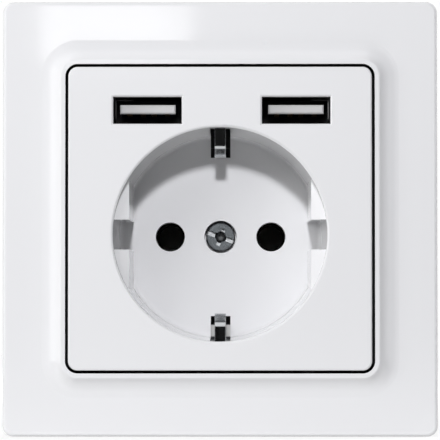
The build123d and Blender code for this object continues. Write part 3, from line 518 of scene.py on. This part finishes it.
def makeResistorEnamel(look, low, high):  # low, high: its ends on the across axis
    finish, tree, shader, place = startFinish("resistorEnamel")
    cloud = noise(tree, place, look["cloudSize"], detail=3.0)
    along = part(tree, place, across)
    leftWire = sums(tree, "LESS_THAN", along, low + look["wireEnd"])
    rightWire = sums(tree, "GREATER_THAN", along, high - look["wireEnd"])
    wire = sums(tree, "ADD", leftWire, rightWire)
    coatTone = mixed(tree, cloud, look["enamel"], look["enamelFar"])
    feed(tree, shader, {
        "Base Color": mixed(tree, wire, coatTone, look["tin"]),
        "Metallic": wire,
        "Roughness": dullness(tree, cloud, look),
        "Normal": relief(tree, noise(tree, place, look["dimpleSize"]), look["dimpleDepth"]),
    })
    return finish


resistorLow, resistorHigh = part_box("fuse_resistor")
dress(makeResistorEnamel(resistorEnamel, resistorLow.x, resistorHigh.x), "fuse_resistor")
print("finishes:", len(bpy.data.materials))

# Stage: pale floor under the socket, white surroundings
stageLook = {
    "size": 3.0, "drop": 0.0001, "tone": (0.30, 0.30, 0.30),
    "glowNear": 0.72, "glowFar": 0.95, "nearReach": 0.10, "farReach": 0.50, "ambient": 0.095,
}


def seenDirectly(tree):  # 1 for rays that the eye, gloss or glass follows
    ray = tree.nodes.new("ShaderNodeLightPath").outputs
    seen = sums(tree, "MAXIMUM", ray["Is Camera Ray"], ray["Is Glossy Ray"])
    return sums(tree, "MAXIMUM", seen, ray["Is Transmission Ray"])


def makeFloor(look):  # keeps the shadow near the socket, fades to white further off
    finish, tree, shader, place = startFinish("floorPaint")
    tree.nodes.remove(shader)
    paint = feed(tree, tree.nodes.new("ShaderNodeBsdfDiffuse"), {"Color": (*look["tone"], 1)})
    far = tree.nodes.new("ShaderNodeVectorMath")
    far.operation = "LENGTH"
    reach = feed(tree, far, {0: place}).outputs["Value"]
    strength = spread(tree, reach, look["nearReach"], look["farReach"], look["glowNear"], look["glowFar"])
    glow = feed(tree, tree.nodes.new("ShaderNodeEmission"), {"Strength": strength})
    both = feed(tree, tree.nodes.new("ShaderNodeAddShader"), {0: paint.outputs[0], 1: glow.outputs[0]})
    mix = tree.nodes.new("ShaderNodeMixShader")
    feed(tree, mix, {0: seenDirectly(tree), 1: paint.outputs[0], 2: both.outputs[0]})
    tree.links.new(mix.outputs[0], tree.nodes["Material Output"].inputs[0])
    return finish


def makeSheet(name, start, sideU, sideV, finish):  # start plus u of one side plus v of the other, 0 to 1
    u, v = np.meshgrid([0.0, 1.0], [0.0, 1.0])
    points = np.array(start) + u[..., None] * np.array(sideU) + v[..., None] * np.array(sideV)
    mesh = bpy.data.meshes.new(name)
    mesh.from_pydata(points.reshape(-1, 3).tolist(), [], [(0, 1, 3, 2)])
    mesh.materials.append(finish)
    sheet = bpy.data.objects.new(name, mesh)
    bpy.context.scene.collection.objects.link(sheet)
    return sheet


def makeStage(look):
    side = look["size"]
    start = (-side / 2, -side / 2, cadLow.z - look["drop"])
    floor = makeSheet("floor", start, (side, 0, 0), (0, side, 0), makeFloor(look))
    floor.visible_shadow = False  # a light table: the low fill shines up through it
    world = bpy.data.worlds.new("surroundings")
    bpy.context.scene.world = world
    world.use_nodes = True
    tree = world.node_tree
    strength = spread(tree, seenDirectly(tree), 0, 1, look["ambient"], 1)
    feed(tree, tree.nodes["Background"], {"Color": (1, 1, 1, 1), "Strength": strength})


makeStage(stageLook)

# Dark cards, unseen by the camera: one behind it for gloss alone, one on the floor for bounced light too
cardPaint = {"tone": (0.015, 0.015, 0.015), "rough": 1.0, "gleam": 0.0}
darkCards = {
    "cardBehind": {
        "start": (-0.70, -0.80, -0.039), "sideU": (0, 0, 1.259), "sideV": (1.40, 0, 0), "bounce": False,
    },
    "cardBelow": {
        "start": (-0.70, -0.80, -0.0399), "sideU": (1.40, 0, 0), "sideV": (0, 0.774, 0), "bounce": True,
    },
}


def makeCardPaint(look):
    finish, tree, shader = startFinish("cardPaint")[:3]
    feed(tree, shader, {
        "Base Color": (*look["tone"], 1), "Roughness": look["rough"], "Specular IOR Level": look["gleam"],
    })
    return finish


def makeDarkCard(name, look, finish):
    card = makeSheet(name, look["start"], look["sideU"], look["sideV"], finish)
    card.visible_camera = False
    card.visible_shadow = False
    card.visible_diffuse = look["bounce"]


cardFinish = makeCardPaint(cardPaint)
for cardName, cardLook in darkCards.items():
    makeDarkCard(cardName, cardLook, cardFinish)
print("stage: floor and", len(darkCards), "dark cards")

# Lamps: place and aim in metres, size in metres, power in watts; gloss False hides a lamp from reflections
frontMiddle = (0, -0.009, 0)  # what the front lamps aim at
bodyMiddle = (0, 0.012, 0)  # what the rear lamps aim at
lampRig = {
    "key": {
        "place": (-0.004, -0.570, 0.228), "aim": frontMiddle, "tint": (0.985, 0.988, 1.02),
        "size": (0.045, 0.045), "power": 2.37, "gloss": False,
    },
    "windowLeft": {
        "place": (-0.620, -0.180, 0.030), "aim": frontMiddle,
        "size": (0.600, 0.500), "power": 1.00, "gloss": True,
    },
    "fillLeft": {
        "place": (-0.500, -0.250, 0.030), "aim": frontMiddle,
        "size": (0.150, 0.300), "power": 0.68, "gloss": False,
    },
    "fillHigh": {
        "place": (-0.300, -0.420, 0.260), "aim": frontMiddle,
        "size": (0.200, 0.200), "power": 0.62, "gloss": False,
    },
    "fillLow": {
        "place": (-0.050, -0.200, -0.420), "aim": frontMiddle,
        "size": (0.300, 0.150), "power": 0.60, "gloss": False,
    },
    "rearRight": {
        "place": (0.480, 0.300, 0.260), "aim": bodyMiddle,
        "size": (0.350, 0.350), "power": 3.2, "gloss": False,
    },
    "rearLeft": {
        "place": (-0.340, 0.480, 0.200), "aim": bodyMiddle,
        "size": (0.350, 0.350), "power": 1.6, "gloss": False,
    },
    "softbox": {
        "place": (-0.042, -0.565, 0.089), "aim": (-0.019, -0.007, 0.036),
        "size": (0.055, 0.024), "power": 0.0175, "gloss": True,
    },
}


def stand(name, thing, look):  # an object at its place, turned to its aim
    holder = bpy.data.objects.new(name, thing)
    holder.location = look["place"]
    toward = Vector(look["aim"]) - Vector(look["place"])
    holder.rotation_mode = "QUATERNION"
    holder.rotation_quaternion = toward.to_track_quat("-Z", "Y")
    bpy.context.scene.collection.objects.link(holder)
    return holder


def makeLamp(name, look):
    lamp = bpy.data.lights.new(name, "AREA")
    lamp.shape = "RECTANGLE"
    lamp.size, lamp.size_y = look["size"]
    lamp.energy = look["power"]
    lamp.color = look.get("tint", (1, 1, 1))
    stand(name, lamp, look).visible_glossy = look["gloss"]


for lampName, lampLook in lampRig.items():
    makeLamp(lampName, lampLook)
print("lamps:", len(lampRig))

# Camera: square on, a little below the middle
cameraLook = {
    "place": (0.0035, -0.569, -0.0195), "aim": (0.0, -0.009, -0.0003), "lens": 250.2, "sensor": 36.0,
    "near": 0.01, "far": 10.0,
}


def makeCamera(look):
    camera = bpy.data.cameras.new("eye")
    camera.lens = look["lens"]
    camera.sensor_width = look["sensor"]
    camera.clip_start, camera.clip_end = look["near"], look["far"]
    bpy.context.scene.camera = stand("eye", camera, look)


makeCamera(cameraLook)
bpy.context.scene.view_settings.view_transform = "Standard"
print("camera:", cameraLook["lens"], "mm lens")
